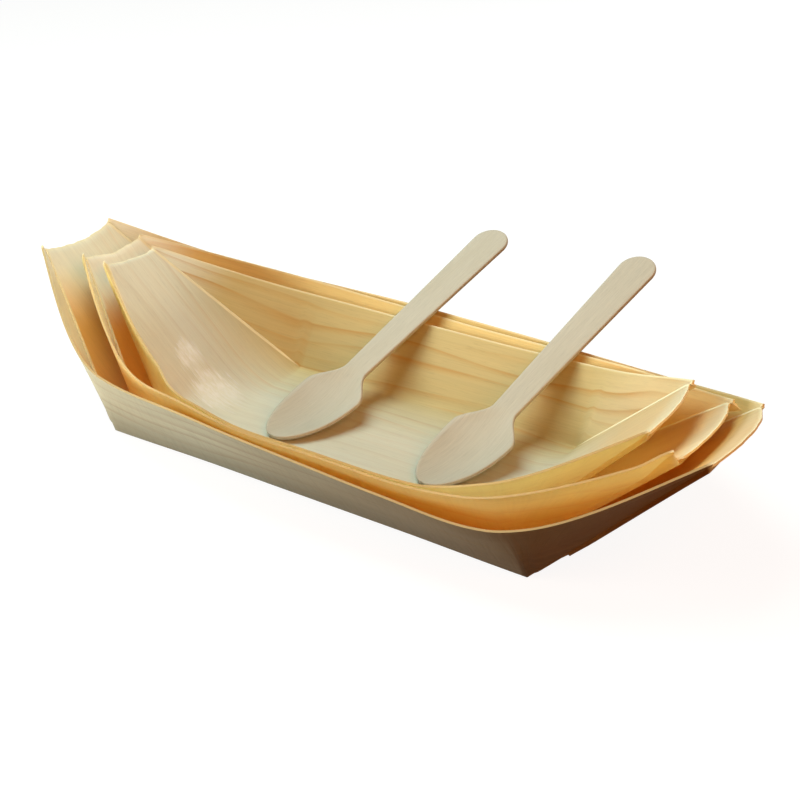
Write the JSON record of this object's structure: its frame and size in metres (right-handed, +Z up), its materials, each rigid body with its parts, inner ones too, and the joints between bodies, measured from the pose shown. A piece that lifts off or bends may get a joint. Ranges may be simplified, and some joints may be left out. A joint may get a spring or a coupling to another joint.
{
  "type": "sushi boat",
  "caption": "Nested boat-shaped serving dishes folded from thin pine veneer, with glued tucks behind the upswept ends, holding flat wooden spoons that lean on the rim.",
  "frame": {"origin": "underside of the large boat's floor, at the middle of the large boat", "axes": "+X along the boats, -Y the near side, +Z up out of the boats"},
  "size_m": [0.2502, 0.1476, 0.0497],
  "materials": {
    "veneer": "bare pine veneer, fine straight grain, matte",
    "spoon_wood": "bare pale birch, sanded, matte",
    "dried_glue": "dried clear glue, satin"
  },
  "bodies": {
    "large_boat": {"large_boat": "veneer", "large_glue_left_near": "dried_glue", "large_glue_left_far": "dried_glue", "large_glue_right_near": "dried_glue", "large_glue_right_far": "dried_glue"},
    "medium_boat": {"medium_boat": "veneer", "medium_glue_left_near": "dried_glue", "medium_glue_left_far": "dried_glue", "medium_glue_right_near": "dried_glue", "medium_glue_right_far": "dried_glue"},
    "small_boat": {"small_boat": "veneer", "small_glue_left_near": "dried_glue", "small_glue_left_far": "dried_glue", "small_glue_right_near": "dried_glue", "small_glue_right_far": "dried_glue"},
    "left_spoon": {"left_spoon": "spoon_wood"},
    "right_spoon": {"right_spoon": "spoon_wood"}
  },
  "joints": [
    {"name": "medium_lift", "type": "slide", "parent": "large_boat", "child": "medium_boat", "axis": [0, 0, 1], "range_m": [0, 0.06]},
    {"name": "small_lift", "type": "slide", "parent": "medium_boat", "child": "small_boat", "axis": [0, 0, 1], "range_m": [0, 0.06]},
    {"name": "left_spoon_lift", "type": "slide", "parent": "small_boat", "child": "left_spoon", "axis": [0, 0, 1], "range_m": [0, 0.06]},
    {"name": "right_spoon_lift", "type": "slide", "parent": "small_boat", "child": "right_spoon", "axis": [0, 0, 1], "range_m": [0, 0.06]}
  ]
}
